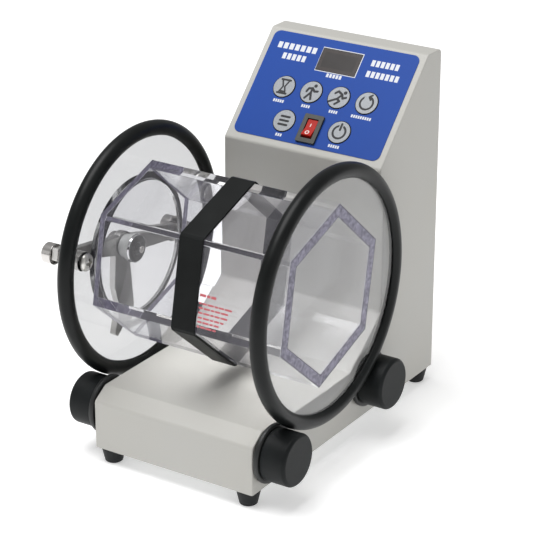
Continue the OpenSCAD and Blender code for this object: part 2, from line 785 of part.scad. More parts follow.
// Nylon collar round the stud, seated in the lid's pocket
module pressure_collar() color([0.86, 0.87, 0.84]) {
    waist_r = collar_r - 1.5;
    in_barrel() turned_x([0, 0], -1) polygon([[stud_r, gasket_out], [collar_r, gasket_out],
        [collar_r, lid_out + 3], [waist_r, lid_out + 4], [waist_r, collar_out - 0.8],
        [waist_r - 0.8, collar_out], [stud_r, collar_out]]);
}

// One hooked arm of the lock bar, lying along local +X
module bar_arm() {
    hook_end = post_pitch_r + post_neck_r + 2;
    slot_r = post_neck_r + rolling;
    difference() {
        polygon([[0, -7], [post_pitch_r - 12, -4], [post_pitch_r - 7, -5.5], [hook_end, -5.5],
            [hook_end, 3], [post_pitch_r - 10, 3.5], [0, 7]]);
        translate([post_pitch_r, 0]) circle(slot_r);
        translate([post_pitch_r - slot_r, 0]) square([2 * slot_r, 10]);
    }
}

// The handle arm along local +X: a broad leg to a round elbow, then a narrow finger
module bar_handle() {
    elbow = [handle_l * 0.68, handle_w * 0.6];
    elbow_r = handle_w / 2;
    bend_low = elbow - [0, elbow_r];
    translate(elbow) circle(elbow_r);
    polygon([[0, -handle_w * 0.55], [handle_l * 0.44, -handle_w * 0.38], bend_low, elbow,
        elbow + [-0.35, 0.936] * elbow_r, [0, handle_w * 0.35]]);
    polygon([bend_low, [handle_l * 0.97, -handle_w * 0.06], [handle_l, handle_w * 0.16],
        elbow + [0.75, 0.661] * elbow_r, elbow]);
}

// Two opposed hooked arms and the handle arm, cut from one plate
module lock_bar() color([0.64, 0.64, 0.62]) {
    in_barrel() along_x(-bar_out, -bar_in) difference() {
        union() {
            circle(9.5);
            for (a = post_dirs) rotate(a) bar_arm();
            rotate(handle_dir) bar_handle();
        }
        circle(stud_r + rolling);
    }
}

module stud_nut() color([0.76, 0.76, 0.75]) {
    in_barrel() turned_x([0, 0], -1) polygon([[stud_r, head_in], [nut_r, head_in],
        [nut_r, head_in + nut_l - 1], [nut_r - 1, head_in + nut_l], [stud_r, head_in + nut_l]]);
}

at_origin() housing_shell();
at_origin() base_plate();
at_origin() rear_cover();
at_origin() base_screws();
at_origin() rear_cover_screws();
at_origin() foot(-1, -1);  // foot_front_left
at_origin() foot(1, -1);  // foot_front_right
at_origin() foot(-1, 1);  // foot_rear_left
at_origin() foot(1, 1);  // foot_rear_right
at_origin() foot_screws();
at_origin() control_overlay();
at_origin() display_window();
at_origin() display_module();
at_origin() control_board();
at_origin() board_pillars();
at_origin() key_switches();
at_origin() switch_bezel();
at_origin() power_rocker();
at_origin() push_button(0);  // button_timer
at_origin() push_button(1);  // button_slow
at_origin() push_button(2);  // button_fast
at_origin() push_button(3);  // button_direction
at_origin() push_button(4);  // button_set
at_origin() push_button(5);  // button_start
at_origin() power_inlet();
at_origin() power_supply();
at_origin() gear_motor();
at_origin() motor_bracket();
at_origin() motor_screws();
at_origin() motor_shaft();
at_origin() motor_pulley();
at_origin() drive_belt();
at_origin() drive_pulley();
at_origin() roller_shaft(front_shaft);
at_origin() roller_shaft(rear_shaft);
at_origin() shaft_bushes();
at_origin() roller_hub(front_shaft, -1);  // roller_hub_front_left
at_origin() roller_hub(front_shaft, 1);  // roller_hub_front_right
at_origin() roller_hub(rear_shaft, -1);  // roller_hub_rear_left
at_origin() roller_hub(rear_shaft, 1);  // roller_hub_rear_right
at_origin() roller_tyre(front_shaft, -1);  // roller_tyre_front_left
at_origin() roller_tyre(front_shaft, 1);  // roller_tyre_front_right
at_origin() roller_tyre(rear_shaft, -1);  // roller_tyre_rear_left
at_origin() roller_tyre(rear_shaft, 1);  // roller_tyre_rear_right
at_origin() barrel_tube();
at_origin() end_disc_left();
at_origin() end_disc_right();
at_origin() rim(-1);  // rim_left
at_origin() rim(1);  // rim_right
at_origin() grip_band();
at_origin() lid();
at_origin() lid_gasket();
at_origin() lock_posts();
at_origin() post_screws();
at_origin() lid_stud();
at_origin() pressure_collar();
at_origin() lock_bar();
at_origin() stud_nut();
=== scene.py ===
import json
import math

import bmesh
import bpy
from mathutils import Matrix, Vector

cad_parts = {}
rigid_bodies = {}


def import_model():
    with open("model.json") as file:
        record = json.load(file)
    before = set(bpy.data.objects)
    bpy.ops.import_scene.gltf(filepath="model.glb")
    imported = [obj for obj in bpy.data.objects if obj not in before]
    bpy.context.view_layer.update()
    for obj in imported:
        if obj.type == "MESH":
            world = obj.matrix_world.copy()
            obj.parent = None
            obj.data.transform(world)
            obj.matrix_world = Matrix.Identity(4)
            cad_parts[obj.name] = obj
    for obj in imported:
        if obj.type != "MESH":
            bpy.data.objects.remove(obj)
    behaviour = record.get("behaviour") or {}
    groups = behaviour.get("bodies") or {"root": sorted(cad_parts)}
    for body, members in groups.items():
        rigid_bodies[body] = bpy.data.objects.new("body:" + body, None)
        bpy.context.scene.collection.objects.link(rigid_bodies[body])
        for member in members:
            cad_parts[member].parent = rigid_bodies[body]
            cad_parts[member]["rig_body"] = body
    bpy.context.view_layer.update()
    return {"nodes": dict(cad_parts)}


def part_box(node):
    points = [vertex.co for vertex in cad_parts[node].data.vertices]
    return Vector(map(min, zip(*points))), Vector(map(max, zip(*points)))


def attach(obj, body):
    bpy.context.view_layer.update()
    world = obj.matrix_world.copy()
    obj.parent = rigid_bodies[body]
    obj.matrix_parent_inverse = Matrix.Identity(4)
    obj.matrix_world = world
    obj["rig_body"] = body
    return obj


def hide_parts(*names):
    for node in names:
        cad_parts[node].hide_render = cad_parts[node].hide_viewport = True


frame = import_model()


# ---------------------------------------------------------------- Base plate
# The floor of the housing is one flat sheet of bright zinc-plated steel, slotted for air and
# held up into the shell by six screws. Its zinc has a faint spangle and rolling marks.
mm = 0.001


class Wire:
    """One output of a node. Arithmetic on it adds Math nodes to its tree."""

    def __init__(self, graph, socket):
        self.graph, self.socket = graph, socket

    def math(self, operation, *others, clamp=False):
        settings = {"operation": operation, "use_clamp": clamp}
        return self.graph.node("ShaderNodeMath", settings, dict(enumerate((self, *others))))

    def __add__(self, other):
        return self.math("ADD", other)

    def __sub__(self, other):
        return self.math("SUBTRACT", other)

    def __rsub__(self, other):
        return self.graph.node("ShaderNodeMath", {"operation": "SUBTRACT"}, {0: other, 1: self})

    def __mul__(self, other):
        return self.math("MULTIPLY", other)

    def __truediv__(self, other):
        return self.math("DIVIDE", other)

    def __neg__(self):
        return self * -1

    __radd__, __rmul__ = __add__, __mul__

    def size(self):
        return self.math("ABSOLUTE")

    def least(self, other):
        return self.math("MINIMUM", other)

    def most(self, other):
        return self.math("MAXIMUM", other)

    def vector(self, operation, sockets, output=0):
        settings = {"operation": operation}
        return self.graph.node("ShaderNodeVectorMath", settings, {0: self, **sockets}, output)


class Graph:
    """A node tree under construction."""

    def __init__(self, tree):
        self.tree = tree

    def node(self, kind, settings=None, sockets=None, output=0):
        """Adds a node: its settings first, then the values or wires of its sockets."""
        made = self.tree.nodes.new(kind)
        for key, value in (settings or {}).items():
            if key == "stops":
                stops = made.color_ramp.elements
                for place, colour in value[2:]:
                    stops.new(place)
                for stop, (place, colour) in zip(stops, sorted(value)):
                    stop.position, stop.color = place, (*colour, 1)
            else:
                setattr(made, key, value)
        for key, value in (sockets or {}).items():
            socket = made.inputs[key]
            if isinstance(value, Wire):
                self.tree.links.new(value.socket, socket)
            elif socket.type == "RGBA":
                socket.default_value = (*value, 1)
            else:
                socket.default_value = value
        return Wire(self, made.outputs[output]) if made.outputs else None


class Finish(Graph):
    """A material whose patterns lie in the frame's own coordinates, in millimetres."""

    def __init__(self, name):
        self.material = bpy.data.materials.new(name)
        self.material.use_nodes = True
        super().__init__(self.material.node_tree)
        self.tree.nodes.clear()
        metres = self.node("ShaderNodeTexCoord", output="Object")
        self.place = metres.vector("SCALE", {"Scale": 1 / mm})

    def noise(self, size, detail=2, stretch=(1, 1, 1), seed=0):
        """Smooth noise from 0 to 1 whose blots are about this many millimetres across."""
        scale = tuple(s / size for s in stretch)
        put = self.node("ShaderNodeMapping", {}, {"Vector": self.place, "Scale": scale})
        settings = {"noise_dimensions": "4D"}
        sockets = {"Vector": put, "W": seed, "Scale": 1.0, "Detail": detail}
        return self.node("ShaderNodeTexNoise", settings, sockets)

    def mix(self, factor, first, second):
        settings = {"data_type": "RGBA"}
        return self.node("ShaderNodeMix", settings, {0: factor, 6: first, 7: second}, output=2)

    def bump(self, height, depth):
        """A Bump node for a height from 0 to 1 that stands for this many millimetres."""
        return self.node("ShaderNodeBump", {}, {"Height": height, "Distance": depth * mm})

    def finish(self, sockets):
        """Closes the tree with a Principled shader and returns the material."""
        shader = self.node("ShaderNodeBsdfPrincipled", {}, sockets)
        self.node("ShaderNodeOutputMaterial", {}, {"Surface": shader})
        return self.material


def metal(name, colour, rough, grain=(1, 1, 1), grain_size=0.5, depth=0.01):
    """Bare metal with a drawn or rolled grain along the short side of grain."""
    f = Finish(name)
    marks = f.noise(grain_size, 3, grain)
    cloud = f.noise(14, 2, seed=3)
    dark = tuple(c * 0.82 for c in colour)
    tone = f.mix(cloud * 0.6 + marks * 0.4, dark, colour)
    return f.finish({
        "Base Color": tone,
        "Metallic": 1.0,
        "Roughness": rough + (marks - 0.5) * 0.16 + (cloud - 0.5) * 0.1,
        "Normal": f.bump(marks, depth),
    })


def dress(names, material):
    """Gives CAD solids that stay as they are a material of their own."""
    for name in names.split():
        solid = frame["nodes"][name]
        for held in solid.material_slots:
            held.material = material


zinc_sheet = metal("zinc_sheet", (0.60, 0.61, 0.60), 0.38, (1, 0.05, 1), 0.9, 0.012)
dress("base_plate motor_bracket", zinc_sheet)


# ---------------------------------------------------------------- Feet
# Four tapered feet of black rubber, each with a screw up through its middle. Their edges are
# moulded round, and the rubber is dull and a little dusty.
def eased(node, width, material, segments=2, limit=40, which=None):
    """A copy of a CAD solid with its flats joined and its sharp edges rounded, in its place."""
    solid = frame["nodes"][node]
    form = bmesh.new()
    form.from_mesh(solid.data)
    bmesh.ops.remove_doubles(form, verts=form.verts, dist=0.002 * mm)
    bmesh.ops.dissolve_limit(
        form, angle_limit=math.radians(0.5), verts=form.verts, edges=form.edges)
    corner = math.radians(limit)
    sharp = [e for e in form.edges if e.is_manifold and e.calc_face_angle(0) > corner]
    if which:
        sharp = [e for e in sharp if which(e)]
    bmesh.ops.bevel(
        form, geom=sharp, offset=width, offset_type="OFFSET", segments=segments, profile=0.5,
        affect="EDGES", clamp_overlap=True, miter_outer="ARC", loop_slide=True)
    return plain_piece(node + "_eased", form, node, material)


def plain_piece(name, form, node, material):
    """Turns a form into a shaded mesh that stands for a CAD solid and rides on its body."""
    mesh = bpy.data.meshes.new(name)
    form.to_mesh(mesh)
    form.free()
    mesh.shade_smooth()
    mesh.set_sharp_from_angle(angle=math.radians(48))
    mesh.materials.clear()
    mesh.materials.append(material)
    piece = bpy.data.objects.new(name, mesh)
    bpy.context.scene.collection.objects.link(piece)
    weigh = piece.modifiers.new("weigh", "WEIGHTED_NORMAL")
    weigh.keep_sharp = True
    settle(piece)
    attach(piece, frame["nodes"][node]["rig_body"])
    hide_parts(node)
    return piece


def settle(piece):
    """Makes what an object's modifiers show its own plain mesh."""
    shown = bpy.context.evaluated_depsgraph_get()
    mesh = bpy.data.meshes.new_from_object(
        piece.evaluated_get(shown), preserve_all_data_layers=True, depsgraph=shown)
    piece.modifiers.clear()
    piece.data = mesh


def rubber(name, colour, rough, grain=0.35, depth=0.012, gloss=0.22):
    """Moulded rubber: nearly black, with a fine skin and pale dust in broad patches."""
    f = Finish(name)
    skin = f.noise(grain, 2)
    dust = f.noise(16, 4, seed=5)
    pale = tuple(c * 1.6 + 0.003 for c in colour)
    return f.finish({
        "Base Color": f.mix((dust - 0.45) * 1.8 + skin * 0.2, colour, pale),
        "Roughness": rough + (dust - 0.5) * 0.18 + (skin - 0.5) * 0.08,
        "Specular IOR Level": gloss,
        "Normal": f.bump(skin, depth),
    })


foot_rubber = rubber("foot_rubber", (0.012, 0.013, 0.014), 0.55)
for place in ("front_left", "front_right", "rear_left", "rear_right"):
    eased("foot_" + place, 0.5 * mm, foot_rubber)


# ---------------------------------------------------------------- Housing shell
# The casing is bent from 1.5 mm steel sheet, welded, ground round along its side edges and
# powder coated in a warm light grey. The coat has a fine orange peel and small specks.
def painted(name, colour):
    f = Finish(name)
    peel_height = f.noise(1.1, 2)
    speck = f.noise(0.28, 1, seed=2)
    cloud = f.noise(60, 3, seed=8)
    warm = tuple(c * w for c, w in zip(colour, (1.03, 1.0, 0.955)))
    deep = tuple(c * 0.90 for c in colour)
    tone = f.mix(cloud, colour, warm)
    tone = f.mix((speck - 0.60) * 2.2, tone, deep)
    return f.finish({
        "Base Color": tone,
        "Roughness": 0.40 + (peel_height - 0.5) * 0.14 + (cloud - 0.5) * 0.08,
        "Specular IOR Level": 0.35,
        "Normal": f.bump(peel_height * 0.85 + speck * 0.15, 0.022),
    })


powder_coat = painted("powder_coat", (0.490, 0.490, 0.470))
shell_lo, shell_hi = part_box("housing_shell")
side_edge = 2.4 * mm
near_side = 0.05 * mm


def on_side_edge(edge):
    """True for the long edges where the side walls meet the wrapped sheet, outside."""
    on_wall = all(
        min(abs(v.co.x - shell_lo.x), abs(v.co.x - shell_hi.x)) < near_side for v in edge.verts)
    wraps = any(abs(face.normal.x) < 0.5 for face in edge.link_faces)
    on_floor = all(v.co.z < shell_lo.z + near_side for v in edge.verts)
    in_bush_hole = all(is_bush_hole(v.co) for v in edge.verts)
    return on_wall and wraps and not on_floor and not in_bush_hole


def is_bush_hole(point):
    for shaft in ("front_shaft", "rear_shaft"):
        lo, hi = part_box(shaft)
        middle = (lo + hi) / 2
        if math.hypot(point.y - middle.y, point.z - middle.z) < 9 * mm:
            return True
    return False


eased("housing_shell", side_edge, powder_coat, segments=4, limit=50,
      which=on_side_edge)
eased("rear_cover", 0.35 * mm, powder_coat)


# ---------------------------------------------------------------- Screws
# Zinc-plated pan-head screws hold the base plate, the feet, the back cover and the motor.
# One head is turned and its cross recess cut, and a copy goes on every screw's place.
class Pattern(Graph):
    """A Geometry Nodes tree with named inputs, shown through one object's modifier."""

    def __init__(self, name, inputs):
        tree = bpy.data.node_groups.new(name, "GeometryNodeTree")
        super().__init__(tree)
        face = tree.interface
        face.new_socket("Geometry", in_out="INPUT", socket_type="NodeSocketGeometry")
        self.identifiers = {
            key: face.new_socket(key, in_out="INPUT", socket_type="NodeSocket" + kind).identifier
            for key, kind in inputs.items()}
        face.new_socket("Geometry", in_out="OUTPUT", socket_type="NodeSocketGeometry")
        self.inlet = tree.nodes.new("NodeGroupInput")

    def input(self, name):
        return Wire(self, self.inlet.outputs[name])

    def join(self, *parts):
        """Joins geometry; a Join Geometry node takes all its wires in one socket."""
        made = self.tree.nodes.new("GeometryNodeJoinGeometry")
        for part in reversed(parts):
            self.tree.links.new(part.socket, made.inputs[0])
        return Wire(self, made.outputs[0])

    def close(self, geometry, material):
        """Ends the tree in Realize Instances and Set Material."""
        real = self.node("GeometryNodeRealizeInstances", {}, {0: geometry})
        dressed = self.node("GeometryNodeSetMaterial", {}, {0: real, "Material": material})
        outlet = self.tree.nodes.new("NodeGroupOutput")
        self.tree.links.new(dressed.socket, outlet.inputs[0])

    def grow(self, name, points, values):
        """Runs the tree on a set of points and returns its result as one plain object."""
        mesh = bpy.data.meshes.new(name)
        mesh.from_pydata([tuple(p) for p in points], [], [])
        piece = bpy.data.objects.new(name, mesh)
        bpy.context.scene.collection.objects.link(piece)
        grower = piece.modifiers.new("grow", "NODES")
        grower.node_group = self.tree
        for key, value in values.items():
            grower[self.identifiers[key]] = value
        settle(piece)
        return piece


screw_steel = metal("screw_steel", (0.70, 0.69, 0.66), 0.28, (1, 1, 0.2), 0.3, 0.006)
screws = Pattern("pan_head_screws", {
    "Head radius": "Float", "Head height": "Float", "Shank radius": "Float",
    "Shank length": "Float", "Recess width": "Float", "Turn": "Rotation"})
head_r, head_t = screws.input("Head radius"), screws.input("Head height")
shank_r, shank_l = screws.input("Shank radius"), screws.input("Shank length")
recess = screws.input("Recess width")
dome = screws.node("GeometryNodeMeshUVSphere", {}, {
    "Segments": 24, "Rings": 12, "Radius": 1.0})
dome_size = screws.node("ShaderNodeCombineXYZ", {}, {0: head_r, 1: head_r, 2: head_t * 1.05})
dome = screws.node("GeometryNodeTransform", {}, {0: dome, "Scale": dome_size})
block_size = screws.node("ShaderNodeCombineXYZ", {}, {
    0: head_r * 4, 1: head_r * 4, 2: head_t * 4})
block = screws.node("GeometryNodeMeshCube", {}, {"Size": block_size})
below = screws.node("ShaderNodeCombineXYZ", {}, {2: head_t * -2})
block = screws.node("GeometryNodeTransform", {}, {0: block, "Translation": below})
arms = []
for long_x, long_y in ((1, 0.28), (0.28, 1)):
    arm_size = screws.node("ShaderNodeCombineXYZ", {}, {
        0: recess * long_x, 1: recess * long_y, 2: head_t * 1.5})
    arm = screws.node("GeometryNodeMeshCube", {}, {"Size": arm_size})
    lift = screws.node("ShaderNodeCombineXYZ", {}, {2: head_t * 1.15})
    arms.append(screws.node("GeometryNodeTransform", {}, {0: arm, "Translation": lift}))
cut = screws.node("GeometryNodeMeshBoolean", {"operation": "DIFFERENCE"}, {0: dome})
for tool in (block, *arms):
    screws.tree.links.new(tool.socket, cut.socket.node.inputs[1])
shank = screws.node("GeometryNodeMeshCylinder", {}, {
    "Vertices": 16, "Radius": shank_r, "Depth": shank_l})
down = screws.node("ShaderNodeCombineXYZ", {}, {2: shank_l * -0.5})
shank = screws.node("GeometryNodeTransform", {}, {0: shank, "Translation": down})
screw = screws.join(cut, shank)
placed = screws.node("GeometryNodeInstanceOnPoints", {}, {
    0: screws.node("GeometryNodeMeshToPoints", {}, {0: screws.input("Geometry")}),
    "Instance": screw, "Rotation": screws.input("Turn")})
screws.close(placed, screw_steel)


def islands(node):
    """The boxes of a CAD node's separate solids, as (lowest, highest) corners."""
    form = bmesh.new()
    form.from_mesh(frame["nodes"][node].data)
    bmesh.ops.remove_doubles(form, verts=form.verts, dist=0.002 * mm)
    left, found = set(form.verts), []
    while left:
        group, edge = set(), [left.pop()]
        while edge:
            vert = edge.pop()
            group.add(vert)
            near = {e.other_vert(vert) for e in vert.link_edges} & left
            left -= near
            edge.extend(near)
        spots = [v.co for v in group]
        lo = Vector([min(s[i] for s in spots) for i in range(3)])
        hi = Vector([max(s[i] for s in spots) for i in range(3)])
        found.append((lo, hi))
    form.free()
    return found


def put_screws(node, name, boxes, axis, sign, turn, head=(3, 1.4), shank=1.5):
    """Stands new screws in for a node's screws whose heads look along sign times an axis."""
    points, long = [], 0
    head_radius, head_height = (size * mm for size in head)
    for lo, hi in boxes:
        seat = (lo + hi) / 2
        seat[axis] = (hi if sign > 0 else lo)[axis] - sign * head_height
        points.append(seat)
        long = (hi - lo)[axis] - head_height
    piece = screws.grow(name, points, {
        "Head radius": head_radius, "Head height": head_height, "Shank radius": shank * mm,
        "Shank length": long, "Recess width": head_radius, "Turn": turn})
    piece.data.shade_smooth()
    piece.data.set_sharp_from_angle(angle=math.radians(30))
    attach(piece, frame["nodes"][node]["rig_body"])
    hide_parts(node)
    return piece


face_down, face_back, face_right = (math.pi, 0, 0), (-math.pi / 2, 0, 0), (0, math.pi / 2, 0)
put_screws("base_screws", "base_pan_screws", islands("base_screws"), 2, -1, face_down)
put_screws("foot_screws", "foot_pan_screws", islands("foot_screws"), 2, -1, face_down)
put_screws("rear_cover_screws", "rear_pan_screws", islands("rear_cover_screws"), 1, 1,
           face_back)
motor_boxes = islands("motor_screws")
through_face = [b for b in motor_boxes if (b[1] - b[0]).x > (b[1] - b[0]).y * 1.05]
through_foot = [b for b in motor_boxes if b not in through_face]
put_screws("motor_screws", "motor_face_screws", through_face, 0, 1, face_right)
put_screws("motor_screws", "motor_foot_screws", through_foot, 2, 1, (0, 0, 0))


# ---------------------------------------------------------------- Power supply and inlet
# A green board on four pillars carries the supply's block, can and heat sink. The inlet is a
# glossy black socket with three blades, pressed into the back cover.
def moulded(name, colour, rough):
    """Injection-moulded plastic with a fine mould grain and faint handling marks."""
    f = Finish(name)
    skin = f.noise(0.5, 2)
    marks = f.noise(9, 4, seed=6)
    light = tuple(min(1.0, c * 1.18 + 0.004) for c in colour)
    return f.finish({
        "Base Color": f.mix(marks, colour, light),
        "Roughness": rough + (marks - 0.5) * 0.16 + (skin - 0.5) * 0.06,
        "Normal": f.bump(skin, 0.008),
    })


board_green = moulded("board_green", (0.03, 0.16, 0.06), 0.45)
black_plastic = moulded("black_plastic", (0.016, 0.016, 0.017), 0.42)
dress("power_supply control_board", board_green)
dress("display_module key_switches", black_plastic)
dress("board_pillars", screw_steel)
eased("power_inlet", 0.3 * mm, black_plastic)


# ---------------------------------------------------------------- Motor and belt
# A geared motor on a zinc bracket turns the rear roller shaft by a belt between two
# turned alloy pulleys. The belt is a plain band of black rubber.
motor_metal = metal("motor_metal", (0.56, 0.56, 0.58), 0.30, (0.06, 1, 1), 0.5)
pulley_alloy = metal("pulley_alloy", (0.74, 0.75, 0.76), 0.26, (1, 0.3, 0.3), 0.4)
eased("gear_motor", 0.5 * mm, motor_metal)
dress("motor_shaft front_shaft rear_shaft", motor_metal)
for pulley in ("motor_pulley", "drive_pulley"):
    eased(pulley, 0.2 * mm, pulley_alloy)
belt_rubber = rubber("belt_rubber", (0.012, 0.012, 0.013), 0.5)
dress("drive_belt", belt_rubber)


# ---------------------------------------------------------------- Rollers
# Each shaft runs in flanged bronze bushes in the side walls and carries a roller on each
# end: a flanged black nylon core with a soft rubber cup pushed over it.
bush_bronze = metal("bush_bronze", (0.62, 0.40, 0.18), 0.42, (1, 1, 1), 0.25, 0.02)
hub_nylon = moulded("hub_nylon", (0.007, 0.008, 0.008), 0.45)
tyre_rubber = rubber("tyre_rubber", (0.008, 0.0095, 0.010), 0.48, gloss=0.16)
dress("shaft_bushes", bush_bronze)
for row in ("front", "rear"):
    for side in ("left", "right"):
        eased(f"roller_hub_{row}_{side}", 0.4 * mm, hub_nylon, segments=3)
        eased(f"roller_tyre_{row}_{side}", 0.7 * mm, tyre_rubber, segments=3,
              limit=25)


# ---------------------------------------------------------------- Control overlay
# The control face is one sheet of blue film, printed from behind, with white marks: a line
# round the display and plain bars where a label's words would stand.
row_step = sum(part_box("button_slow"), Vector()) - sum(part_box("button_set"), Vector())
up_slope = Vector((0, row_step.y, row_step.z)).normalized()
display_up = 26.0
panel_middle = sum(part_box("display_window"), Vector()) / 2 - up_slope * display_up * mm


def on_panel(point):
    """A point's place across and up the control face from its middle, in millimetres."""
    offset = (point - panel_middle) / mm
    return offset.x, offset.dot(up_slope)


class Print(Finish):
    """A finish that is printed in millimetres across and up the control face."""

    def __init__(self, name, middle=(0, 0), scale=1):
        super().__init__(name)
        home = panel_middle / mm
        offset = self.place.vector("SUBTRACT", {1: tuple(home)})
        across = offset.vector("DOT_PRODUCT", {1: (1 / scale, 0, 0)}, 1) - middle[0] / scale
        up = offset.vector("DOT_PRODUCT", {1: tuple(up_slope / scale)}, 1) - middle[1] / scale
        self.across, self.up = across, up
        self.spot = self.node("ShaderNodeCombineXYZ", {}, {0: across, 1: up})

    def bar(self, x, y, w, h):
        """How far a place is outside a plain bar."""
        return ((self.across - x).size() - w / 2).most((self.up - y).size() - h / 2)

    def ring(self, r, w):
        return (self.spot.vector("LENGTH", {}, 1) - r).size() - w / 2

    def disc(self, x, y, r):
        return self.spot.vector("DISTANCE", {1: (x, y, 0)}, 1) - r

    def stroke(self, start, end, w):
        """How far a place is outside a round-ended line of width w."""
        way = Vector((*end, 0)) - Vector((*start, 0))
        offset = self.spot.vector("SUBTRACT", {1: (*start, 0)})
        along = offset.vector("DOT_PRODUCT", {1: tuple(way / way.length_squared)}, 1)
        along = along.math("ADD", 0.0, clamp=True)
        foot = self.node("ShaderNodeVectorMath", {"operation": "SCALE"}, {
            0: tuple(way), "Scale": along})
        return offset.vector("DISTANCE", {1: foot}, 1) - w / 2

    def inked(self, shapes, soft=0.12):
        """1 inside any of the shapes and 0 outside, over a thin soft edge."""
        nearest = shapes[0]
        for shape in shapes[1:]:
            nearest = nearest.least(shape)
        return (0.5 - nearest / soft).math("ADD", 0.0, clamp=True)


def word_bar(sheet, x, y, letters, pitch, height):
    """A row of plain blocks as long as a word of that many letters."""
    width = letters * pitch
    whole = sheet.bar(x, y, width, height)
    step = (sheet.across - (x - width / 2)) / pitch
    gap = (step.math("FRACT") - 0.5).size() * pitch - pitch * 0.36
    return whole.most(gap)


film = Print("overlay_print")
white_marks = [
    word_bar(film, -35.5, 30.8, 7, 4.6, 4.6),
    word_bar(film, -35.0, 23.2, 5, 3.9, 4.6),
    word_bar(film, 34.5, 30.0, 6, 3.7, 4.6),
    word_bar(film, 35.7, 21.6, 7, 3.7, 4.6),
    word_bar(film, 0.5, 14.9, 5, 2.5, 2.8),
    film.bar(0.2, display_up, 32.2, 18.4),
]
for across, letters in ((-32.7, 5), (-10.9, 4), (10.9, 4), (32.7, 9)):
    white_marks.append(word_bar(film, across, -10.4, letters, 1.75, 2.1))
for across, letters in ((-21.8, 3), (21.8, 5)):
    white_marks.append(word_bar(film, across, -34.6, letters, 1.75, 2.1))
screen_dots = film.noise(0.5, 1)
ink_cloud = film.noise(30, 2, seed=4)
blue = film.mix(ink_cloud, (0.012, 0.062, 0.325), (0.015, 0.070, 0.350))
overlay_print = film.finish({
    "Base Color": film.mix(film.inked(white_marks), blue, (0.74, 0.76, 0.80)),
    "Roughness": 0.42 + (screen_dots - 0.5) * 0.1 + (ink_cloud - 0.5) * 0.08,
    "Specular IOR Level": 0.15,
    "Normal": film.bump(screen_dots, 0.006),
})
dress("control_overlay", overlay_print)


# ---------------------------------------------------------------- Display
# A smoked acrylic window fills the cut-out in the film. The dark display behind it shows
# only as a faint darker rectangle.
smoke = Print("display_tint")
lens_row = smoke.inked([smoke.bar(0, display_up, 25.5, 11.5)], 0.6)
lens_dust = smoke.noise(6, 3)
display_tint = smoke.finish({
    "Base Color": smoke.mix(lens_row, (0.036, 0.028, 0.026), (0.022, 0.018, 0.017)),
    "Roughness": 0.30 + (lens_dust - 0.5) * 0.14,
    "Specular IOR Level": 0.25,
    "Normal": smoke.bump(lens_dust, 0.004),
})
eased("display_window", 0.15 * mm, display_tint)


# ---------------------------------------------------------------- Power switch
# A snap-in rocker: an olive-black bezel with rounded corners, and a glossy red key with a
# white stroke on its upper half and a white ring on its lower half.
bezel_black = moulded("bezel_black", (0.034, 0.036, 0.030), 0.44)
eased("switch_bezel", 0.35 * mm, bezel_black, segments=3)
key_lo, key_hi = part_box("power_rocker")
key = Print("rocker_red", on_panel((key_lo + key_hi) / 2))
marks = key.inked([
    key.stroke((-0.4, 1.9), (-0.4, 3.7), 0.7),
    (key.spot.vector("DISTANCE", {1: (-0.2, -3.1, 0)}, 1) - 1.25).size() - 0.35])
key_cloud = key.noise(5, 3)
rocker_red = key.finish({
    "Base Color": key.mix(marks, key.mix(key_cloud, (0.38, 0.010, 0.005), (0.47, 0.016, 0.008)),
                          (0.80, 0.70, 0.66)),
    "Roughness": 0.34 + (key_cloud - 0.5) * 0.14,
    "Specular IOR Level": 0.16,
    "Normal": key.bump(key_cloud, 0.006),
})
eased("power_rocker", 0.4 * mm, rocker_red, segments=3)


# ---------------------------------------------------------------- Push buttons
# Six round keys of silver-filled plastic, each with a dark ring near its edge and a printed
# sign: an hourglass, two figures, a turning arrow, three menu bars and a power mark.
def hourglass(f):
    corners = [(-2.2, 4.0), (2.2, 4.0), (2.2, -4.0), (-2.2, -4.0)]
    waist = [(-0.55, 0), (0.55, 0)]
    line = 1.0
    shapes = [f.stroke((-2.9, y), (2.9, y), 1.2) for y in (4.2, -4.2)]
    for x, y in corners:
        shapes.append(f.stroke((x, y), waist[0] if x < 0 else waist[1], line))
    shapes.append(f.stroke((-0.9, -3.1), (0.9, -3.1), 1.2))
    return shapes


def walker(f):
    line = 1.4
    path = [((0.1, 2.4), (0.0, -0.4)), ((0.0, -0.4), (1.3, -4.4)), ((0.0, -0.4), (-2.6, -4.2)),
            ((0.1, 2.3), (-2.2, 1.9)), ((-2.2, 1.9), (-2.9, -0.1)), ((0.2, 2.2), (1.9, 0.6)),
            ((1.9, 0.6), (3.9, 0.9))]
    return [f.stroke(a, b, line) for a, b in path] + [f.disc(1.5, 4.0, 1.05)]


def runner(f):
    line = 1.4
    path = [((1.6, 1.9), (-0.6, -0.9)), ((-0.6, -0.9), (-4.9, -3.3)), ((-0.6, -0.9), (1.3, -2.2)),
            ((1.3, -2.2), (-0.9, -4.3)), ((1.4, 2.1), (-1.3, 3.6)), ((-1.3, 3.6), (-2.9, 2.2)),
            ((1.6, 1.8), (2.6, -0.2)), ((2.6, -0.2), (4.5, 0.6))]
    return [f.stroke(a, b, line) for a, b in path] + [f.disc(3.1, 3.4, 1.1)]


def turn_arrow(f):
    arc = f.ring(3.9, 1.2)
    gap = (f.across + 1.1).size() - 1.35
    gap = gap.most(-f.up)
    return [arc.most(-gap), f.stroke((0.3, 3.9), (1.9, 5.2), 1.15),
            f.stroke((0.3, 3.9), (1.6, 2.3), 1.15)]


def menu_bars(f):
    return [f.stroke((-2.6, y), (2.6, y), 1.35) for y in (-2.5, 0, 2.5)]


def power_mark(f):
    gap = (f.across.size() - 1.25).most(-f.up)
    return [f.ring(3.8, 1.25).most(-gap), f.stroke((0, 1.4), (0, 5.0), 1.35)]


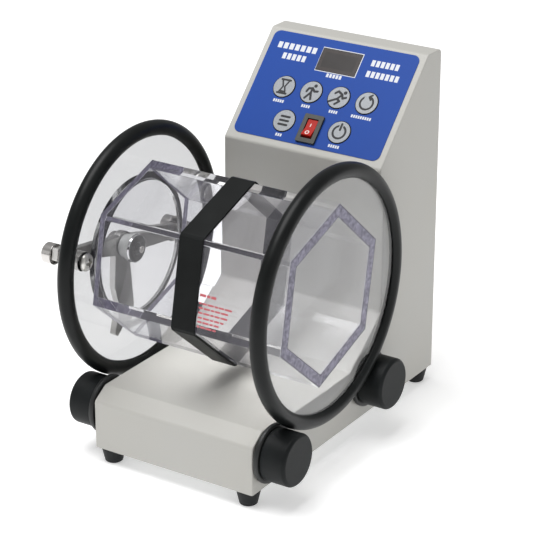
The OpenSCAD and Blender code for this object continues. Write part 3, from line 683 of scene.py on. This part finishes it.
signs = {"timer": hourglass, "slow": walker, "fast": runner, "direction": turn_arrow,
         "set": menu_bars, "start": power_mark}
button_r, sign_scale = 8.4, 1.22
for use, sign in signs.items():
    node = "button_" + use
    lo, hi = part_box(node)
    face = Print("button_silver_" + use, on_panel((lo + hi) / 2), sign_scale)
    flakes = face.noise(0.32, 1)
    patches = face.noise(1.6, 2, seed=7)
    silver = face.mix((flakes - 0.35) * 2.2, (0.24, 0.255, 0.27), (0.42, 0.435, 0.46))
    edge_ring = face.ring((button_r - 0.25) / sign_scale, 0.55 / sign_scale)
    dark = face.inked([*sign(face), edge_ring])
    button_silver = face.finish({
        "Base Color": face.mix(dark, silver, (0.012, 0.013, 0.016)),
        "Metallic": (1 - dark) * 0.25,
        "Roughness": 0.40 + (patches - 0.5) * 0.15 + (flakes - 0.5) * 0.2,
        "Specular IOR Level": 0.3,
        "Normal": face.bump(flakes, 0.01),
    })
    eased(node, 0.25 * mm, button_silver, segments=3, limit=30)


# ---------------------------------------------------------------- Barrel tube
# The barrel is a hexagon of clear acrylic plates, eight millimetres thick, solvent-bonded at
# its corners and to the end discs. The bonded ends are hazy and faintly violet. The tube and
# its bonded ends also glow faintly violet, which is painted light, and the discs and lid take
# darker copies of the clear acrylic, which is painted shade.
def acrylic(name, tint, painted_glow=0.0):
    """Cast acrylic: clear and faintly violet, with fine wipe marks on its polish. It glows
    faintly violet, which is painted light.
    """
    f = Finish(name)
    wipe = f.noise(2.5, 4, (0.25, 1, 1))
    smear = f.noise(6, 3, seed=9)
    shade = tuple(t * 0.975 for t in tint)
    return f.finish({
        "Base Color": f.mix(smear, shade, tint),
        "Roughness": wipe * 0.04,
        "IOR": 1.45,
        "Transmission Weight": 1.0,
        # A faint violet glowing here is painted light.
        "Emission Color": (0.86, 0.82, 1.0),
        "Emission Strength": painted_glow,
        "Normal": f.bump(wipe, 0.0015),
    })


def bonded(name):
    """The tube's sawn ends under their cement: mottled, with a dark line along both edges. They
    glow faintly violet, which is painted light.
    """
    f = Finish(name)
    axis_y, axis_z = barrel_middle.y / mm, barrel_middle.z / mm
    offset = f.place.vector("SUBTRACT", {1: (0, axis_y, axis_z)})
    out = None
    for turn in (0, 60, 120):
        lean = math.radians(turn) + facet_lean
        side = offset.vector("DOT_PRODUCT", {1: (0, math.cos(lean), math.sin(lean))}, 1).size()
        out = side if out is None else out.most(side)
    edge = ((out - (tube_apothem - 0.5)).size()).least(
        (out - (tube_apothem - tube_wall + 0.5)).size())
    line = (1.1 - edge / 0.45).math("ADD", 0.0, clamp=True)
    smear = f.noise(2.4, 4, seed=9)
    mottled = f.mix((smear - 0.5) * 3 + 0.5, (0.28, 0.26, 0.38), (0.84, 0.82, 0.92))
    return f.finish({
        "Base Color": f.mix(line * 0.8, mottled, (0.045, 0.042, 0.06)),
        "Roughness": 0.32 + smear * 0.1,
        "IOR": 1.45,
        "Transmission Weight": 0.2,
        # The bonded ends glow faintly violet here, which is painted light.
        "Emission Color": (0.82, 0.78, 1.0),
        "Emission Strength": 0.035,
        "Normal": f.bump(smear, 0.02),
    })


rim_lo, rim_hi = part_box("rim_left")
barrel_middle = (rim_lo + rim_hi) / 2
tube_apothem, tube_wall = 52.8, 8.0  # the tube's half width across its flats, and its plate
front_facet_y, front_facet_z = -0.98, 0.19
facet_lean = math.atan2(front_facet_z, front_facet_y)
# The tube's acrylic glows faintly violet at 0.012, which is painted light.
clear_acrylic = acrylic("clear_acrylic", (0.93, 0.93, 0.945), 0.012)
# The end discs and the lid take darker copies of the clear acrylic: painted shade, darkest on the
# lid side.
disc_acrylic = acrylic("disc_acrylic", (0.75, 0.755, 0.765))
lid_side_acrylic = acrylic("lid_side_acrylic", (0.59, 0.593, 0.60))
bonded_acrylic = bonded("bonded_acrylic")


def clear(piece):
    """Lets lamps shine through a clear piece, as real acrylic does."""
    piece.visible_shadow = False
    return piece


tube = clear(eased("barrel_tube", 0.4 * mm, clear_acrylic))
tube.data.materials.append(bonded_acrylic)
for face in tube.data.polygons:
    face.material_index = int(abs(face.normal.x) > 0.2)
# The end discs' darker acrylic tints are painted shade.
clear(eased("end_disc_left", 0.35 * mm, lid_side_acrylic))
clear(eased("end_disc_right", 0.35 * mm, disc_acrylic))


# ---------------------------------------------------------------- Tube label
# A notice is printed in red on the tube's front facet, beside the band. Plain bars of ink
# stand where its lines of words would be, each a thin closed skin on the acrylic.
label_rows = ((26.0, 12.5, 1.7), (20.6, 25.0, 1.2), (17.6, 23.5, 1.2), (14.4, 22.0, 1.2),
              (11.2, 19.5, 1.2), (8.4, 18.0, 1.2), (5.2, 15.0, 1.2))
word_lengths, word_gap = (4.6, 2.4, 3.7, 5.2, 1.8, 3.1), 0.8
label_start, ink_t, ink_lift = 11.0, 0.08, 0.35
facet_out = Vector((0, math.cos(facet_lean), math.sin(facet_lean)))
facet_up = Vector((0, math.sin(facet_lean), -math.cos(facet_lean)))
facet_low = -tube_apothem * math.tan(math.radians(30))
tube_lo, tube_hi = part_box("barrel_tube")
label_home = Vector(((tube_lo.x + tube_hi.x) / 2, barrel_middle.y, barrel_middle.z))
ink_form = bmesh.new()
words = []
for count, (up, long, tall) in enumerate(label_rows):
    start = 0
    while start < long - 1:
        length = min(word_lengths[(len(words) + count) % len(word_lengths)], long - start)
        words.append((start, start + length, up - tall / 2, up + tall / 2))
        start += length + word_gap
for left, right, low, high in words:
    corners = []
    for raised in (ink_lift, ink_lift + ink_t):
        for x, row in ((left, low), (right, low), (right, high), (left, high)):
            across = Vector((label_start + x, 0, 0))
            rise = facet_out * (tube_apothem + raised) + facet_up * (facet_low + row)
            corners.append(ink_form.verts.new(label_home + (across + rise) * mm))
    ink_form.faces.new(corners[3::-1])
    ink_form.faces.new(corners[4:])
    for i in range(4):
        j = (i + 1) % 4
        ink_form.faces.new((corners[i], corners[j], corners[j + 4], corners[i + 4]))
bmesh.ops.recalc_face_normals(ink_form, faces=ink_form.faces)
ink_mesh = bpy.data.meshes.new("label_ink")
ink_form.to_mesh(ink_mesh)
ink_form.free()
ink = Finish("label_ink")
ink_wear = ink.noise(0.8, 3)
ink_mesh.materials.append(ink.finish({
    "Base Color": ink.mix(ink_wear, (0.50, 0.07, 0.085), (0.66, 0.16, 0.18)),
    "Roughness": 0.45 + (ink_wear - 0.5) * 0.2,
    "Normal": ink.bump(ink_wear, 0.01),
}))
label = bpy.data.objects.new("label_ink", ink_mesh)
bpy.context.scene.collection.objects.link(label)
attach(label, frame["nodes"]["barrel_tube"]["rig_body"])


# ---------------------------------------------------------------- Rims and grip band
# Each disc's edge sits in the groove of a moulded black rubber rim, on which the barrel
# rolls. A wide rubber band round the tube gives a grip for wet hands.
rim_rubber = rubber("rim_rubber", (0.004, 0.005, 0.005), 0.38, 0.5, 0.010)
band_rubber = rubber("band_rubber", (0.005, 0.006, 0.006), 0.5, 0.4, 0.02, gloss=0.15)
for side in ("left", "right"):
    eased("rim_" + side, 0.3 * mm, rim_rubber)
eased("grip_band", 0.4 * mm, band_rubber, segments=3, limit=20)


# ---------------------------------------------------------------- Lid and lock
# A clear stepped lid with a silicone gasket closes the mouth. A polished bar on the lid's
# stud hooks behind two stainless posts, and a nylon collar spreads its push.
gasket_silicone = rubber("gasket_silicone", (0.40, 0.40, 0.39), 0.5)
stainless = metal("stainless", (0.70, 0.68, 0.66), 0.16, (0.2, 1, 1), 0.4, 0.004)
collar_nylon = moulded("collar_nylon", (0.76, 0.77, 0.75), 0.38)
bar_alloy = metal("bar_alloy", (0.70, 0.69, 0.67), 0.36, (1, 0.12, 1), 0.6, 0.008)
# The lid's darker acrylic tint is painted shade.
clear(eased("lid", 0.35 * mm, lid_side_acrylic))
eased("lid_gasket", 0.2 * mm, gasket_silicone)
eased("lock_posts", 0.25 * mm, stainless, segments=3, limit=30)
put_screws("post_screws", "post_pan_screws", islands("post_screws"), 0, 1, face_right,
           head=(6.1, 3), shank=2)
eased("lid_stud", 0.3 * mm, stainless)
eased("stud_nut", 0.3 * mm, stainless, limit=30)
eased("pressure_collar", 0.4 * mm, collar_nylon, segments=3, limit=30)
eased("lock_bar", 0.5 * mm, bar_alloy, segments=3, limit=40)


# ---------------------------------------------------------------- Studio
# The tumbler stands on a plain white sweep under one broad soft light from above and two
# weak fills, seen from the front right and a little above.
floor_white = Finish("floor_white")
paper = floor_white.noise(4, 3)
floor_white = floor_white.finish({
    "Base Color": floor_white.mix(paper, (0.92, 0.92, 0.92), (0.93, 0.93, 0.93)),
    "Roughness": 0.9,
    "Emission Color": (1.0, 1.0, 1.0),
    "Emission Strength": 0.40,
})
reach = 12
floor_form = bmesh.new()
bmesh.ops.create_grid(floor_form, x_segments=1, y_segments=1, size=reach)
floor_mesh = bpy.data.meshes.new("floor")
floor_form.to_mesh(floor_mesh)
floor_form.free()
floor_mesh.materials.append(floor_white)
floor = bpy.data.objects.new("floor", floor_mesh)
bpy.context.scene.collection.objects.link(floor)


def soft_light(name, place, aim, width, power):
    lamp = bpy.data.lights.new(name, "AREA")
    lamp.shape, lamp.size, lamp.energy = "DISK", width, power
    lamp_object = bpy.data.objects.new(name, lamp)
    bpy.context.scene.collection.objects.link(lamp_object)
    lamp_object.location = place
    lamp_object.rotation_euler = (Vector(aim) - Vector(place)).to_track_quat(
        "-Z", "Y").to_euler()


object_middle = (0, 0, 0.12)
soft_light("top_light", (-0.3, -0.35, 1.9), object_middle, 1.5, 30)
soft_light("front_fill", (-1.3, -1.9, 0.9), object_middle, 1.2, 1)
soft_light("side_fill", (2.1, -0.6, 0.8), object_middle, 1.2, 1.5)
world = bpy.data.worlds.new("studio")
world.use_nodes = True
world.node_tree.nodes["Background"].inputs["Color"].default_value = (1, 1, 1, 1)
world.node_tree.nodes["Background"].inputs["Strength"].default_value = 0.38
bpy.context.scene.world = world
bpy.context.scene.view_settings.view_transform = "Standard"

view_azimuth, view_elevation = math.radians(33.15), math.radians(22.93)
view_distance = 1.47522
aim = Vector((0.00224, 0.01345, 0.10850))
back = Vector((
    math.sin(view_azimuth) * math.cos(view_elevation),
    -math.cos(view_azimuth) * math.cos(view_elevation),
    math.sin(view_elevation)))
camera = bpy.data.objects.new("camera", bpy.data.cameras.new("camera"))
bpy.context.scene.collection.objects.link(camera)
camera.data.sensor_width, camera.data.lens = 36, 147.616
camera.location = aim + back * view_distance
camera.rotation_euler = back.to_track_quat("Z", "Y").to_euler()
bpy.context.scene.camera = camera
